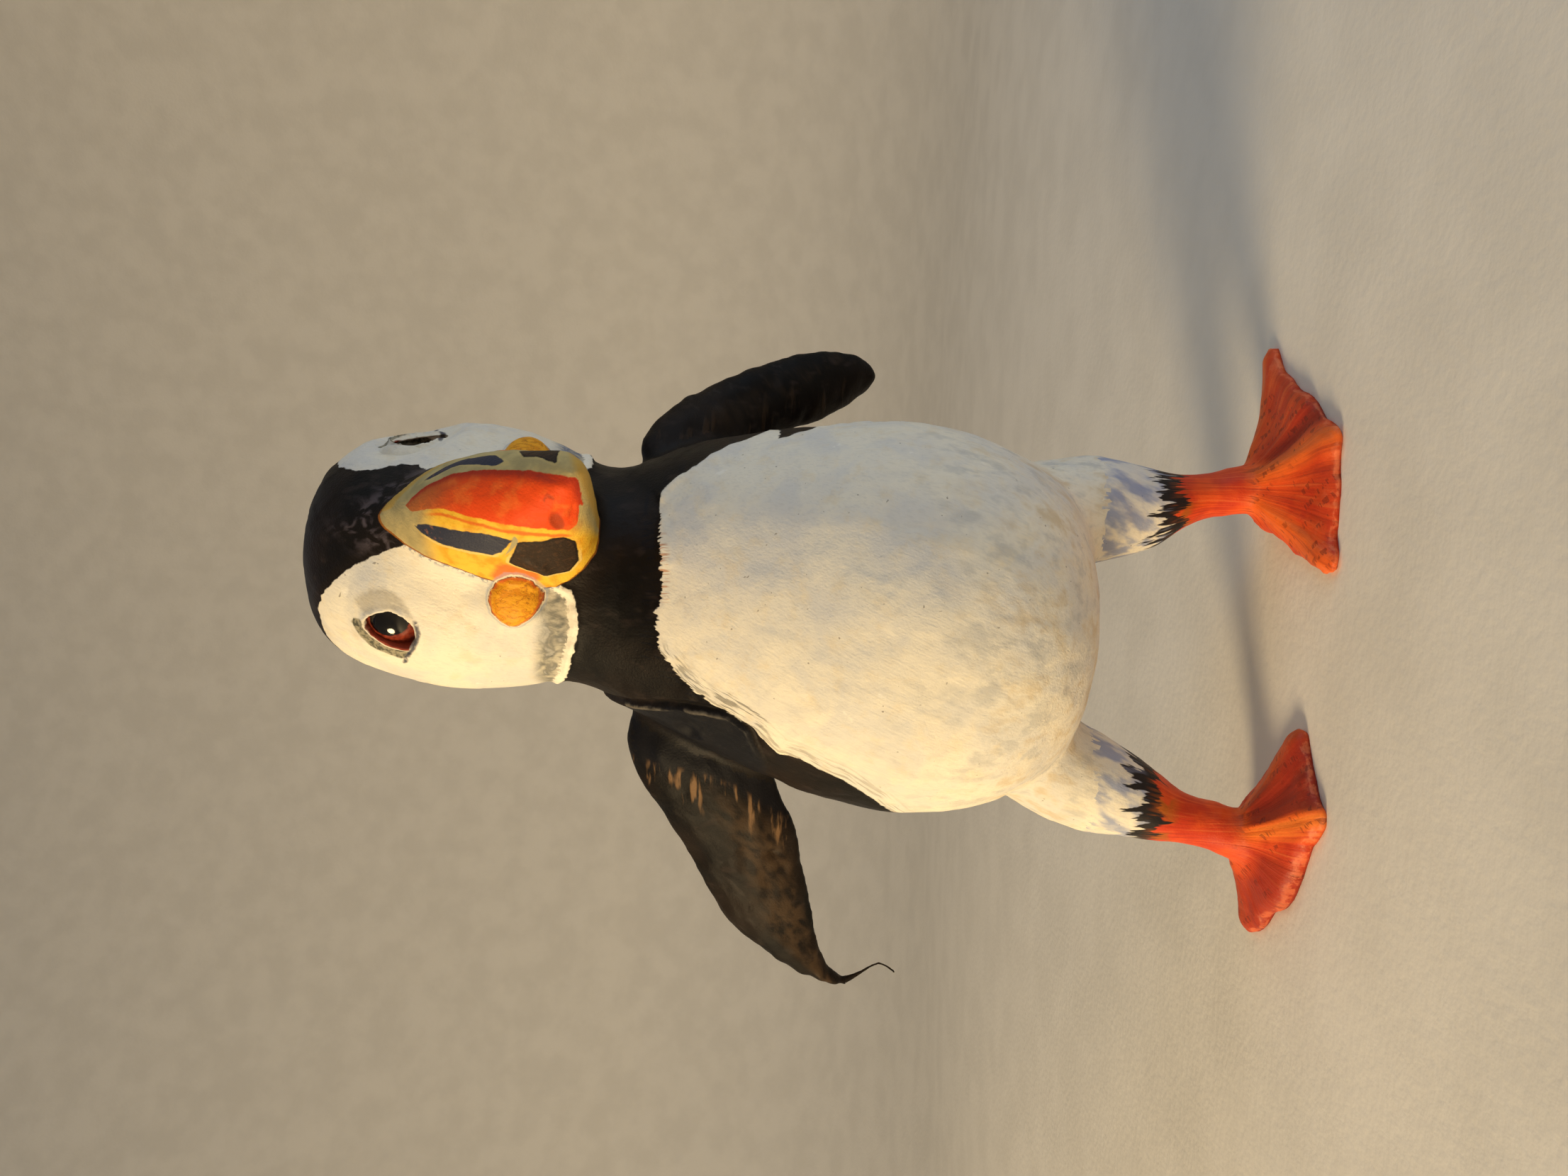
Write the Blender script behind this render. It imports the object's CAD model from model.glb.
"""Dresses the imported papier-mache puffin: its paper skin, its paints and its two glossy eyes.

Lengths in tables and fields are millimetres from the trunk's upright axis, unless a name says
otherwise. The bird faces -Y and its left side is +X.
"""

import math

import bmesh
import bpy
import numpy as np
from mathutils import Matrix, Vector


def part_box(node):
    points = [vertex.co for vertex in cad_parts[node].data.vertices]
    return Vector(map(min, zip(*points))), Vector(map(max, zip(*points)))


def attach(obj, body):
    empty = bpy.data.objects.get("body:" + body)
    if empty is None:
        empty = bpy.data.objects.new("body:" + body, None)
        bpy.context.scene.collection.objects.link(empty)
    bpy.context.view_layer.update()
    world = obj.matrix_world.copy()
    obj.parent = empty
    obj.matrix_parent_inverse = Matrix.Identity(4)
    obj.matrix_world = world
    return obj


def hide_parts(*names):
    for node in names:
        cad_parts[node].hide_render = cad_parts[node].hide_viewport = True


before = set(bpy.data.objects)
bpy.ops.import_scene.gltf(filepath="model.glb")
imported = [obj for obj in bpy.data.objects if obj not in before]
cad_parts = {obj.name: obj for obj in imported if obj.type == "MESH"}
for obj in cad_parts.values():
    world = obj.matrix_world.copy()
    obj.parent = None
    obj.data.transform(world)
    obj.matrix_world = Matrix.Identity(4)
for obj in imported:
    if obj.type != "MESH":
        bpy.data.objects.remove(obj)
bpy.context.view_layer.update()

MM = 0.001
TRUNK_AXIS = np.array([23.138, -0.048, 0.0])  # in the part's frame
HEAD_AXIS = (4.7, 0.0)
HEAD_TURN = 18
BILL_TURN = 14

VOXEL = 0.66
SKIN_TRIANGLES = 194000
SMOOTH_ROUNDS = 90

# The trunk's level sections: height, centre x, half width, reach to the front, reach to the back
TRUNK = np.array([
    (47, -6.5, 8, 8, 7),
    (53, -6.5, 27.5, 28, 26),
    (59, -6.5, 36, 37, 33),
    (67, -6.8, 41.8, 44, 38),
    (77, -7, 45.6, 47.5, 41),
    (88, -6.5, 48, 48, 42.5),
    (100, -6, 48.2, 47, 43),
    (112, -5.2, 46.3, 44.5, 42.5),
    (124, -4, 43.5, 41, 41),
    (136, -2.5, 40, 37, 38.5),
    (146, -1.2, 36.6, 33, 36),
    (155, -1.2, 32.4, 29.5, 33),
    (170, 1.4, 27.9, 26.5, 29),
])

# Outlines of the paints. On the trunk: degrees from straight ahead towards the bird's left, height
TRUNK_CHART_X = -6.0
TRUNK_DEGREE = 0.77  # millimetres
BELLY = [
    (0, 152.7), (5, 151.4), (17, 151.9), (28, 152.5), (40, 152.7), (47, 153.4), (52, 150),
    (55, 145.5), (60.6, 141.8), (66.8, 136.2), (70, 131.5), (76, 128.6), (74, 126.6), (64, 127),
    (68, 122.5), (80, 109), (95, 94), (104, 80), (112, 66), (130, 60), (185, 57), (185, 20),
    (-185, 20), (-185, 57), (-130, 60), (-112, 66), (-102, 80),
    (-86, 90), (-75, 94.5), (-65, 98.5), (-58, 102.3), (-51.5, 109.1), (-47.5, 118.6),
    (-48.2, 124.4), (-40, 130), (-35.8, 137.7), (-31.7, 143.3), (-25.3, 147.9), (-16.4, 152),
]
# On the head: degrees from the head's forward line towards its left, height
HEAD_DEGREE = 0.54
RIGHT_CHEEK = [
    (-14.5, 208.1), (-15.2, 211.5), (-17.5, 214.4), (-20.7, 218.7), (-25, 223), (-31, 226.7),
    (-39.4, 230.5), (-50.4, 232.8), (-72, 233.4), (-96, 228), (-114, 216), (-122, 203),
    (-120, 190), (-106, 180), (-81, 175.3), (-68, 173.5), (-57, 171.8), (-46.7, 170.8),
    (-36.7, 171.3), (-31.6, 172.2), (-28.9, 174.6), (-20, 177), (-8, 190), (-8, 205),
]
LEFT_CHEEK = [
    (16, 206), (21.9, 209.1), (23.2, 213.4), (21.3, 219.4), (23.3, 225.1), (31.2, 230.4),
    (43, 232.4), (57, 233.4), (75, 233.4), (98, 228), (115, 216), (123, 203), (121, 190),
    (106, 180), (81, 175.3), (68, 173.2), (52, 171.6), (43.4, 171.4), (36, 172.4), (30, 176),
    (16, 190),
]
# On the bill: degrees round an upright axis inside it, towards the bird's left, and height. The
# panels are listed for the right side, and the left side mirrors them in the ridge's middle.
BILL_SPINE = 22
BILL_DEGREE = 0.42
BILL_OUTLINE = [
    (30, 163), (30, 215.4), (4, 215.2), (-4, 214.6), (-11.5, 213.4), (-25.9, 207.9),
    (-33.8, 203.2), (-40.8, 196), (-49, 190.5), (-53.5, 182), (-61, 180), (-65.5, 177),
    (-62, 173), (-52, 169.8), (-38, 167.6), (-20, 165), (-10, 163),
]
CHIN = [(160, 31), (167, 29.5), (170, 25), (174, 20), (220, 20)]  # height, least reach of the bill
RIDGE_MIDDLE = [
    (160, -3), (167, -2), (172, -4), (178, -2.3), (186, 0), (196, 5), (206, 5), (216, 4),
]
SLATE = [
    (-10.6, 205.4), (-10.2, 202), (-13.9, 194.9), (-15.6, 186.7), (-18.2, 181.9), (-27.5, 186.2),
    (-25.3, 192.4), (-22.1, 198.9), (-16.3, 203),
]
DARK = [
    (-18.5, 180.7), (-18.2, 176.3), (-15.4, 171.3), (-17.7, 169.4), (-35.8, 169.7),
    (-47.5, 172.1), (-46.5, 176.1), (-40.1, 180.4), (-32.3, 184.2),
]
GAPE = [
    (-46.2, 189.2), (-35.1, 186.9), (-32.4, 184.8), (-37, 181.7), (-39.7, 177.9), (-52.3, 177.9),
    (-50, 187.8),
]
# The red ridge, between two lines: height, degrees
RED_RIGHT = [
    (160, -1), (167.4, -1.6), (168.3, -8.5), (169.8, -12.1), (173, -12.5), (178.5, -12.3),
    (184.6, -10.8), (192, -7.2), (197.3, -3.3), (201.1, -2.5), (205.8, -1.8), (207.8, 4.5),
    (209, 9),
]
RED_LEFT = [
    (160, 4.2), (169, 4.4), (172, 5), (178.2, 7.7), (186.8, 11.6), (195.5, 14.3), (201.8, 13.5),
    (205.3, 9.8), (207.8, 4.5), (209, 1),
]
RED_END = 166.8
ROSETTE = [
    (-34.5, 190), (-30.5, 189.4), (-27.2, 187.8), (-25, 185.3), (-24.6, 182.6), (-26, 180.3),
    (-28.8, 178.9), (-32, 178.3), (-35.5, 178.5), (-39, 179.6), (-42.5, 181.6), (-45.3, 184.2),
    (-45.2, 185.8), (-42.8, 187.8), (-38.9, 189.5),
]
FAR_NARROWER = 0.3  # how much nearer to the ridge the left side's paints are
FAR_SMALLER = {"slate": 0.55, "dark": 2.1}  # how far the left panels' edges draw in
FAR_ROSETTE_NEARER = 1.12
SMEAR = {
    "middle": (-9.3, 172),
    "half": (1.4, 1.6),
    "hook": [(-3.2, 174), (-1.6, 173.2), (-2.4, 172)],
    "hook_half": 0.3,
}

# Eyes, and the paint round them in the eye's own frame: towards the back, up
EYE = {"forward": 19.4, "side": 22.8, "height": 214.5, "outward": 47}
BEAD_RADIUS = 9.0
CORNEA = 0.012  # how much the bead bulges at its middle, as a share of its radius
LIDS = [(-3.2, -2.4), (-2.8, 2), (-0.4, 5.6), (2.4, 3.8), (5, 1.2), (6.9, -4.7), (0.4, -6.2)]
UPPER_LID = [
    (-2.6, 4.6), (-6.4, 7.5), (-9.4, 3.3), (-10.1, -0.3), (-8.4, -3.6), (-5.5, -5.9), (-2, -7),
    (-4.4, -3.6), (-4.4, 1.6),
]
LOWER_LID = [
    (-2, 5.6), (-1.1, 9), (2.7, 7.5), (5.9, 4.9), (7.9, 0.8), (9.6, -1.8), (8, -4.6), (5.4, -3),
    (3.7, 0.5), (1.4, 3.4), (-0.2, 5),
]
EYE_CORNER = [(-1.9, -6.9), (1.4, -7.3), (5.2, -5.6), (8.3, -3.4), (11.2, -2)]
PUPIL_CENTRE = (-1.7, -0.5)
PUPIL_HALF = (3.7, 4.5)
FAR_EYE_SUNK = 1.7
FAR_BEAD_SUNK = 3.1
BEAD_BACK = 1.1  # how far the beads sit towards the back, to fill their lids

# Where the dark fringe of each leg starts and ends: leg's side, lower and upper height
FRINGE = {"left": (27.4, 32.2), "right": (30.8, 36)}
BETWEEN_LEGS_X = -12.0

# The wings' edges, measured across from the trunk: distance out, height of the leading edge and of
# the trailing edge
RIGHT_WING_EDGES = [
    (20, 160, 131), (28, 162.5, 130), (44, 160.5, 121), (66, 147.6, 115.8), (86, 137.6, 111.4),
    (102, 115.4, 107), (110, 108, 104),
]
LEFT_WING_EDGES = [
    (30, 160, 140), (38, 162, 138), (51, 156.6, 128.5), (63, 138.4, 114.5), (71.6, 117.5, 104.4),
    (73, 107.5, 101.8),
]
WING_MIDDLE_X = -6
# Where the tan strokes of the right wing begin: height, distance out
SHOULDER_STROKES = [
    (120, 55.5), (126.9, 51), (134.3, 45.9), (141.5, 43.2), (148.7, 41.6), (154.2, 41.1), (162, 39),
]
# The right shoulder's raised edge, in the trunk's chart
SHOULDER = [
    (-60, 161.5), (-54, 157.5), (-43.7, 149), (-39, 141), (-37.7, 136.2), (-41.1, 130.8),
    (-46.8, 129.6), (-55.3, 127.4), (-75, 124), (-120, 124), (-120, 175), (-80, 168),
]
# Grey brushing on the white, in the trunk's chart: a patch beside the right shoulder, and a line
GREY_PATCH = [
    (-29.3, 140.4), (-27.8, 134.4), (-33.6, 127), (-38, 125.6), (-39.6, 129), (-38.5, 133),
    (-33.1, 139.2),
]
GREY_LINE = [(-49.6, 118.5), (-48.6, 113.3), (-52.6, 107.5)]
GREY_LINE_HALF = 1.2
WING_PIT = (-34.5, -17.2, 145.5)  # a pressed hollow where the right wing joins
WING_DENT = (-70, 12.9, 124.7)

FEET = {
    "left": {"ankle": (28.4, -2.6), "toes": (19, 106, -36)},
    "right": {"ankle": (-58.4, -2.6), "toes": (21, 63, -116)},
}
PRINT_TURN = 35  # degrees; the paper's lines of print under the feet's paint
PRINT_PITCH = 3.3

# The torn twist at the right wing's tip: centre line and radius
CURL_PATH = [
    (-111.4, 41, 103.6, 1.5), (-109.6, 41.4, 99.4, 1.15), (-107.6, 41.8, 96, 1),
    (-106.6, 42, 93.4, 0.9), (-107.4, 42, 91, 0.95), (-108.8, 41.6, 89, 1),
]
CURL_REACH = 3
CURL_TOP = 103

# Heights that divide the bird
SOLE_TOP = 0.4
FOOT_TOP = 16
LEG_TOP = 47
HEAD_BOTTOM = 161.5
TAIL_TOP = 78
WING_BOTTOM = 86
BILL_BOTTOM = 165

# How far each form stands out of the skin or is pressed into it
RELIEF = {
    "cheek_rim": 0.75, "collar": 0.4, "bill": 0.4, "rosette": 1.0, "red_crumple": 0.45,
    "smear": 0.5, "far_lid": 1.4, "shoulder": 1.1, "shoulder_groove": 0.6, "pit": 1.3,
    "pit_ring": 0.5, "dent": 1.2, "wing_grain": 0.35, "foot_grain": 0.2, "right_fold": 0.8,
    "left_valley": 0.9, "torn_rim": 0.9, "torn_rim_fine": 0.45,
}
STRIPS = {
    "count": 150, "half_length": (9, 17), "half_width": (5, 8), "thickness": 0.11, "reach": 7,
    "soft": 0.35,
}
FAR_AWAY = 1e9


def rgb(red, green, blue):
    """A display colour, 0 to 255, as linear light."""
    def linear(c):
        c /= 255
        return c / 12.92 if c <= 0.04045 else ((c + 0.055) / 1.055) ** 2.4
    return (linear(red), linear(green), linear(blue), 1.0)


# Numpy helpers

LATTICE = np.random.default_rng(7).uniform(-1, 1, (32, 32, 32))


def noise(points, size, seed=0):
    """Smooth noise from -1 to 1, with lumps of about size."""
    q = points / size + 17.31 * (seed + 1)
    cell = np.floor(q).astype(int)
    f = q - cell
    f = f * f * f * (f * (f * 6 - 15) + 10)
    total = 0.0
    for dx in (0, 1):
        for dy in (0, 1):
            for dz in (0, 1):
                weight = (
                    (f[:, 0] if dx else 1 - f[:, 0])
                    * (f[:, 1] if dy else 1 - f[:, 1])
                    * (f[:, 2] if dz else 1 - f[:, 2])
                )
                i, j, k = ((cell[:, n] + d) & 31 for n, d in enumerate((dx, dy, dz)))
                total = total + weight * LATTICE[i, j, k]
    return total


def step(x, low, high):
    """Smoothly from 0 at low to 1 at high."""
    t = np.clip((x - low) / (high - low), 0, 1)
    return t * t * (3 - 2 * t)


def hump(x, width):
    """1 at 0, falling smoothly to nothing some widths away."""
    return np.exp(-((x / width) ** 2))


def inside(x, y, outline):
    """Distance to a closed outline, positive inside it."""
    ends = np.array(outline, float)
    nearest = np.full(len(x), FAR_AWAY)
    within = np.zeros(len(x), bool)
    for (ax, ay), (bx, by) in zip(ends, np.roll(ends, -1, 0)):
        dx, dy = bx - ax, by - ay
        t = np.clip(((x - ax) * dx + (y - ay) * dy) / (dx * dx + dy * dy), 0, 1)
        nearest = np.minimum(nearest, np.hypot(x - ax - t * dx, y - ay - t * dy))
        if dy:
            within ^= ((ay > y) != (by > y)) & (x < dx * (y - ay) / dy + ax)
    return np.where(within, nearest, -nearest)


def along_line(x, y, line):
    """Distance to an open line."""
    ends = np.array(line, float)
    nearest = np.full(len(x), FAR_AWAY)
    for (ax, ay), (bx, by) in zip(ends, ends[1:]):
        dx, dy = bx - ax, by - ay
        t = np.clip(((x - ax) * dx + (y - ay) * dy) / (dx * dx + dy * dy), 0, 1)
        nearest = np.minimum(nearest, np.hypot(x - ax - t * dx, y - ay - t * dy))
    return nearest


def table(value, rows):
    """The second column of a table, read by its first."""
    first, second = np.array(rows, float).T
    return np.interp(value, first, second)


def scaled(outline, x_scale):
    return [(x * x_scale, y) for x, y in outline]


def turned(points, turn):
    """Distances ahead of the head's axis and to its left, for a turn to the bird's left."""
    angle = math.radians(turn)
    x, y = points[:, 0] - HEAD_AXIS[0], points[:, 1] - HEAD_AXIS[1]
    return x * math.sin(angle) - y * math.cos(angle), x * math.cos(angle) + y * math.sin(angle)


def cheek_frame(spec, hand):
    """Centre, and unit directions towards the back, up and out of a piece on the head's side."""
    turn, outward = math.radians(HEAD_TURN), math.radians(spec["outward"])
    ahead = np.array([math.sin(turn), -math.cos(turn), 0])
    left = np.array([math.cos(turn), math.sin(turn), 0])
    centre = np.array([*HEAD_AXIS, 0]) + ahead * spec["forward"] + left * hand * spec["side"]
    centre[2] = spec["height"]
    out = ahead * math.cos(outward) + left * hand * math.sin(outward)
    back = np.cross((0, 0, 1), out) * hand
    return centre, back, np.array([0, 0, 1.0]), out


def in_frame(points, frame_of):
    centre, *directions = frame_of
    offset = points - centre
    return [offset @ d for d in directions]


def outside_trunk(points):
    """Distance outside the trunk's own surface."""
    z = points[:, 2]
    centre, half, front, back = (np.interp(z, TRUNK[:, 0], TRUNK[:, k]) for k in (1, 2, 3, 4))
    depth = np.where(points[:, 1] < 0, front, back)
    share = np.hypot((points[:, 0] - centre) / half, points[:, 1] / depth)
    return (share - 1) * (half + depth) / 2


def foot_fields(points, foot):
    """Degrees round the ankle, distance from it, and distance from the nearest toe's line."""
    across, ahead = points[:, 0] - foot["ankle"][0], foot["ankle"][1] - points[:, 1]
    turn, reach = np.degrees(np.arctan2(across, ahead)), np.hypot(across, ahead)
    off = [reach * np.sin(np.radians(np.minimum(np.abs(turn - toe), 90))) for toe in foot["toes"]]
    return turn, reach, np.min(off, 0)


def fields(points):
    """Signed distances to the painted areas, positive inside, for every point."""
    x, y, z = points.T

    azimuth = np.degrees(np.arctan2(x - TRUNK_CHART_X, -y))
    trunk_turn = azimuth * TRUNK_DEGREE

    def on_trunk(outline):
        return inside(trunk_turn, z, scaled(outline, TRUNK_DEGREE))

    outside = outside_trunk(points)
    out_from_middle = np.abs(x - WING_MIDDLE_X)
    wing = np.where((z > WING_BOTTOM) & (out_from_middle > 28), 9.0, -9.0)
    wing = np.minimum(outside - 2.5, wing)
    tail = np.minimum(y - 30, TAIL_TOP - z)
    belly = np.minimum(on_trunk(BELLY), np.where(z > 90, (6 - outside) * 4, 30))
    grey_line = along_line(trunk_turn, z, scaled(GREY_LINE, TRUNK_DEGREE))
    grey = np.maximum(on_trunk(GREY_PATCH), GREY_LINE_HALF - grey_line)

    ahead, left = turned(points, HEAD_TURN)
    head_azimuth = np.degrees(np.arctan2(left, ahead)) * HEAD_DEGREE
    cheek = np.maximum(
        inside(head_azimuth, z, scaled(RIGHT_CHEEK, HEAD_DEGREE)),
        inside(head_azimuth, z, scaled(LEFT_CHEEK, HEAD_DEGREE)),
    )
    mirrored = -np.abs(head_azimuth) * np.where(left > 0, FAR_ROSETTE_NEARER, 1)
    rosette = inside(mirrored, z, scaled(ROSETTE, HEAD_DEGREE))

    reach, side = turned(points, BILL_TURN)
    bearing = np.degrees(np.arctan2(side, reach - BILL_SPINE))
    red_right = (bearing - table(z, RED_RIGHT)) * BILL_DEGREE
    red_left = (table(z, RED_LEFT) - bearing) * BILL_DEGREE
    red = np.minimum(np.minimum(red_right, red_left), z - RED_END)
    ridge = table(z, RIDGE_MIDDLE)
    left_half = bearing - ridge
    far = step(left_half, 0, 2)
    panel_bearing = (ridge - np.abs(left_half) * (1 + FAR_NARROWER * far)) * BILL_DEGREE

    def on_bill(outline):
        return inside(panel_bearing, z, scaled(outline, BILL_DEGREE))

    smear_x, smear_z = SMEAR["middle"]
    half_x, half_z = SMEAR["half"]
    smear = 1 - np.hypot((bearing - smear_x) * BILL_DEGREE / half_x, (z - smear_z) / half_z)
    hook = along_line(bearing * BILL_DEGREE, z, scaled(SMEAR["hook"], BILL_DEGREE))

    hand = np.where(left < 0, -1, 1)
    eyes = [in_frame(points, cheek_frame(EYE, h)) for h in (-1, 1)]
    back, up, out = (np.where(hand < 0, a, b) for a, b in zip(*eyes))
    by_eye = out > -7

    def on_eye(outline):
        return np.where(by_eye, inside(back, up, outline), -9)

    leg_left = x > BETWEEN_LEGS_X
    feet = [foot_fields(points, FEET[side]) for side in ("left", "right")]
    foot_turn, foot_reach, toe = (np.where(leg_left, a, b) for a, b in zip(*feet))
    low, high = (np.where(leg_left, FRINGE["left"][k], FRINGE["right"][k]) for k in (0, 1))
    chords = []
    for edges in (RIGHT_WING_EDGES, LEFT_WING_EDGES):
        out_at, leading, trailing = np.array(edges, float).T
        low_edge = np.interp(out_from_middle, out_at, trailing)
        high_edge = np.interp(out_from_middle, out_at, leading)
        chords.append((z - low_edge) / (high_edge - low_edge))

    return {
        "belly": belly,
        "wing": np.maximum(wing, tail),
        "cheek": cheek,
        "bill": np.minimum(on_bill(BILL_OUTLINE), reach - table(z, CHIN)),
        "slate": on_bill(SLATE) - FAR_SMALLER["slate"] * far,
        "dark": on_bill(DARK) - FAR_SMALLER["dark"] * far,
        "smear": np.maximum(smear, SMEAR["hook_half"] - hook),
        "grey": grey,
        "shoulder": on_trunk(SHOULDER),
        "gape": on_bill(GAPE),
        "red": red,
        "red_right": red_right,
        "bill_left": left_half * BILL_DEGREE,
        "rosette": np.where(ahead > 0, rosette, -20),
        "upper_lid": on_eye(UPPER_LID),
        "lower_lid": on_eye(LOWER_LID),
        "lids": on_eye(LIDS),
        "eye_corner": np.where(by_eye, along_line(back, up, EYE_CORNER), 9),
        "eye_back": back,
        "eye_distance": np.hypot(back, up) + np.where(out > -12, 0, 20),
        "trunk_turn": trunk_turn,
        "chord": np.where(x < 0, chords[0], chords[1]) * 10,
        "past_strokes": out_from_middle - table(z, SHOULDER_STROKES),
        "foot_turn": foot_turn * 0.2,
        "foot_reach": foot_reach,
        "toe": toe,
        "fringe_low": z - low,
        "fringe_high": z - high,
    }


# Mesh work

def new_object(name, data):
    obj = bpy.data.objects.new(name, data)
    bpy.context.scene.collection.objects.link(obj)
    return obj


def points_of(mesh):
    flat = np.empty(len(mesh.vertices) * 3, np.float32)
    mesh.vertices.foreach_get("co", flat)
    return flat.reshape(-1, 3).astype(float) / MM - TRUNK_AXIS


def set_points(mesh, points):
    mesh.vertices.foreach_set("co", ((points + TRUNK_AXIS) * MM).astype(np.float32).ravel())
    mesh.update()


def normals_of(mesh):
    flat = np.empty(len(mesh.vertices) * 3, np.float32)
    mesh.vertex_normals.foreach_get("vector", flat)
    return flat.reshape(-1, 3).astype(float)


def edges_of(mesh):
    flat = np.empty(len(mesh.edges) * 2, np.int32)
    mesh.edges.foreach_get("vertices", flat)
    return flat.reshape(-1, 2)


def with_modifier(obj, kind, **settings):
    """Applies one modifier to obj's mesh."""
    modifier = obj.modifiers.new(kind.lower(), kind)
    for name, value in settings.items():
        setattr(modifier, name, value)
    graph = bpy.context.evaluated_depsgraph_get()
    made = bpy.data.meshes.new_from_object(obj.evaluated_get(graph), depsgraph=graph)
    obj.modifiers.clear()
    obj.data = made


def smooth(points, edges, weight, rounds):
    a, b = edges.T
    count = np.bincount(a, minlength=len(points)) + np.bincount(b, minlength=len(points))
    for _ in range(rounds):
        mean = np.stack([
            np.bincount(a, points[b, k], len(points)) + np.bincount(b, points[a, k], len(points))
            for k in range(3)
        ], 1) / count[:, None]
        points = points + weight[:, None] * (mean - points)
    return points


def curl_distance(points):
    """Distance to the curl's centre line, the nearest point on it and the radius there."""
    line = np.array(CURL_PATH)
    best = np.full(len(points), FAR_AWAY)
    near = np.zeros((len(points), 3))
    radius = np.zeros(len(points))
    for p, q in zip(line, line[1:]):
        d = (q - p)[:3]
        t = np.clip((points - p[:3]) @ d / (d @ d), 0, 1)
        foot = p[:3] + t[:, None] * d
        distance = np.linalg.norm(points - foot, axis=1)
        closer = distance < best
        best = np.where(closer, distance, best)
        near[closer] = foot[closer]
        radius = np.where(closer, p[3] + t * (q - p)[3], radius)
    return best, near, radius


def relief(points, normals, f):
    """How far the pasted paper and thick paint stand out, at every point."""
    x, y, z = points.T
    size = RELIEF
    lumps = 0.5 * noise(points, 23) + 0.26 * noise(points, 10, 3) + 0.1 * noise(points, 4.6, 1)
    lumps += 0.05 * noise(points, 2.2, 2)
    calm = np.clip(step(f["eye_distance"], 8, 15), 0.12, 1)
    made = (lumps + strips(points, normals)) * calm

    # thick paint round the cheeks and the collar
    rim = hump(f["cheek"] - 0.7, 1.1) * step(z, 184, 178) * step(z, 160, 166)
    made += rim * (size["cheek_rim"] + 0.5 * noise(points, 2.6, 5))
    collar = hump(f["belly"] - 0.9, 1.2) * step(z, 95, 105)
    made += collar * (size["collar"] + 0.35 * noise(points, 3, 6))

    # the bill, its rosettes and its crumpled red tip
    on_bill = z > BILL_BOTTOM
    made += size["bill"] * step(f["bill"], -0.35, 0.35)
    made += size["rosette"] * step(f["rosette"], -0.5, 1.7) * (z > 170)
    crumple = noise(points, 2.4, 15) * step(f["red"], 0, 1.5) * step(z, 181, 174) * on_bill
    made += size["red_crumple"] * crumple
    made -= size["smear"] * step(f["smear"], 0, 0.6) * on_bill

    # the far eye lies deeper, behind a raised front lid
    far_side = f["bill_left"] > 0
    front_lid = hump(f["lids"] + 1.1, 0.9) * step(f["eye_back"], 0, -2)
    made += size["far_lid"] * front_lid * far_side * step(f["eye_distance"], 12, 9)
    made -= FAR_EYE_SUNK * step(f["eye_distance"], 13, 6.5) * far_side

    # the right shoulder's edge, and the wings
    shoulder = f["shoulder"]
    by_trunk = (x < -20) * step(f["wing"], 7, 3) * step(z, 125, 131) * step(y, 2, -6)
    raised = step(shoulder, -0.5, 0.9) * np.exp(-np.maximum(shoulder, 0) / 6)
    made += size["shoulder"] * raised * by_trunk
    made -= size["shoulder_groove"] * hump(shoulder + 1, 0.9) * by_trunk
    pit = np.linalg.norm(points - WING_PIT, axis=1)
    made -= size["pit"] * hump(pit, 2.6) - size["pit_ring"] * hump(pit - 4.4, 1.2)
    made -= size["dent"] * hump(np.linalg.norm(points - WING_DENT, axis=1), 1.6)
    on_wing = step(f["wing"], 0, 3) * step(z, 170, 160)
    made += on_wing * size["wing_grain"] * noise(points * (0.35, 1, 1), 3.2, 8)

    # the feet: brushed paper, one fold or valley each, torn rims
    on_foot = step(z, 14, 8)
    turn, right_foot = f["foot_turn"], x < BETWEEN_LEGS_X
    brushed = np.stack([turn, f["foot_reach"] * 0.12, z * 0], 1)
    made += on_foot * size["foot_grain"] * noise(brushed, 0.9, 9)
    past_ankle = on_foot * step(f["foot_reach"], 6, 11)
    fold = step(turn, 4.1, 4.7) * step(turn, 10, 6)
    made += past_ankle * right_foot * size["right_fold"] * fold
    made -= past_ankle * ~right_foot * size["left_valley"] * hump(turn - 7.6, 1.4)
    torn = on_foot * step(np.abs(normals[:, 2]), 0.75, 0.3) * step(f["foot_reach"], 16, 22)
    flat = points * (1, 1, 0.2)
    ragged = size["torn_rim"] * noise(flat, 3.6, 12) + size["torn_rim_fine"] * noise(flat, 1.5, 13)
    return made + torn * ragged


def strips(points, normals):
    """Pasted strips of paper, each a sheet's thickness over what lies below."""
    rng = np.random.default_rng(11)
    made = np.zeros(len(points))
    soft = STRIPS["soft"]
    for _ in range(STRIPS["count"]):
        at = rng.integers(len(points))
        normal = normals[at] / max(np.linalg.norm(normals[at]), 1e-6)
        along = np.cross(normal, rng.normal(size=3))
        along /= np.linalg.norm(along)
        across = np.cross(normal, along)
        offset = points - points[at]
        u, v, w = offset @ along, offset @ across, offset @ normal
        half = rng.uniform(*STRIPS["half_length"]), rng.uniform(*STRIPS["half_width"])
        edge = np.minimum(half[0] - np.abs(u), half[1] - np.abs(v))
        made += STRIPS["thickness"] * step(edge, -soft, soft) * (np.abs(w) < STRIPS["reach"])
    return made


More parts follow.
